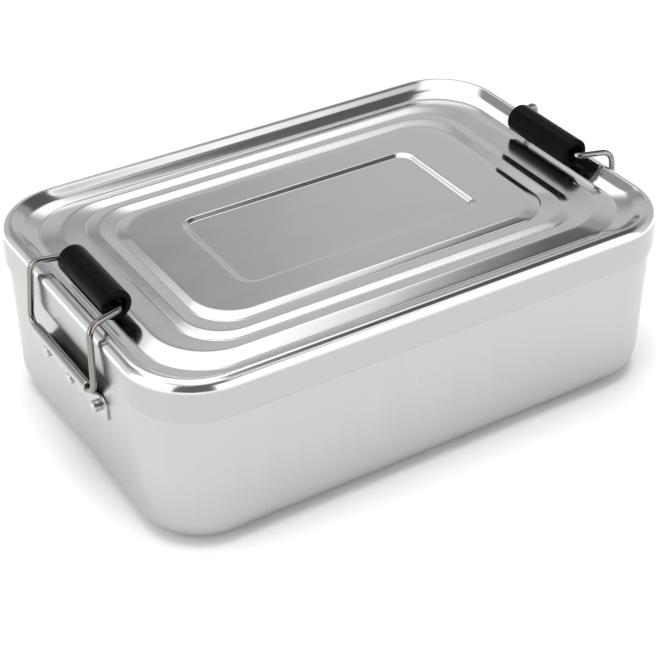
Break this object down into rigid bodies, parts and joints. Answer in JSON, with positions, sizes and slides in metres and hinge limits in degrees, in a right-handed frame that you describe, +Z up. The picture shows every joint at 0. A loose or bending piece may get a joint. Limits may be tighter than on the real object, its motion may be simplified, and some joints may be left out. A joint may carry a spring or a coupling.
{
  "type": "lunch box",
  "caption": "Rectangular metal lunch box with rounded corners, a stepped press-on lid and a wire bail latch with a black roller on each short end.",
  "frame": {"origin": "middle of the box's bottom, centred on the tub in X and Y", "axes": "+X along the long side, the latches on the -X and +X ends; +Y across the box; +Z up through the lid"},
  "size_m": [0.2408, 0.154, 0.0852],
  "materials": {
    "drawn_aluminium": "satin, fine vertical draw lines",
    "polished_aluminium": "polished",
    "hinge_sheet": "brushed",
    "stainless_wire": "bright drawn wire",
    "black_plastic": "moulded satin",
    "rivet_aluminium": "satin"
  },
  "bodies": {
    "box": {"body": "drawn_aluminium", "hinge_plate_left": "hinge_sheet", "hinge_plate_right": "hinge_sheet", "rivet_left_1": "rivet_aluminium", "rivet_left_2": "rivet_aluminium", "rivet_left_3": "rivet_aluminium", "rivet_right_1": "rivet_aluminium", "rivet_right_2": "rivet_aluminium", "rivet_right_3": "rivet_aluminium"},
    "lid": {"lid": "polished_aluminium"},
    "latch_left": {"bail_wire_left": "stainless_wire"},
    "latch_right": {"bail_wire_right": "stainless_wire"},
    "roller_tube_left": {"roller_left": "black_plastic"},
    "roller_tube_right": {"roller_right": "black_plastic"}
  },
  "joints": [
    {"name": "lid_lift", "type": "slide", "parent": "box", "child": "lid", "axis": [0, 0, 1], "range_m": [0, 0.0125]},
    {"name": "latch_left_swing", "type": "hinge", "parent": "box", "child": "latch_left", "pos_m": [-0.1183, -0.0035, 0.0518], "axis": [0, -1, 0], "range_deg": [0, 185]},
    {"name": "latch_right_swing", "type": "hinge", "parent": "box", "child": "latch_right", "pos_m": [0.1183, -0.0035, 0.0518], "axis": [0, 1, 0], "range_deg": [0, 185]},
    {"name": "roller_left_spin", "type": "hinge", "parent": "latch_left", "child": "roller_tube_left", "pos_m": [-0.1028, -0.0035, 0.0792], "axis": [0, 1, 0], "continuous": true},
    {"name": "roller_right_spin", "type": "hinge", "parent": "latch_right", "child": "roller_tube_right", "pos_m": [0.1028, -0.0035, 0.0792], "axis": [0, 1, 0], "continuous": true}
  ],
  "couplings": [
    {"joint": "latch_left_swing", "follows": "lid_lift", "rad_per_m": 258.2},
    {"joint": "latch_right_swing", "follows": "lid_lift", "rad_per_m": 258.2}
  ]
}
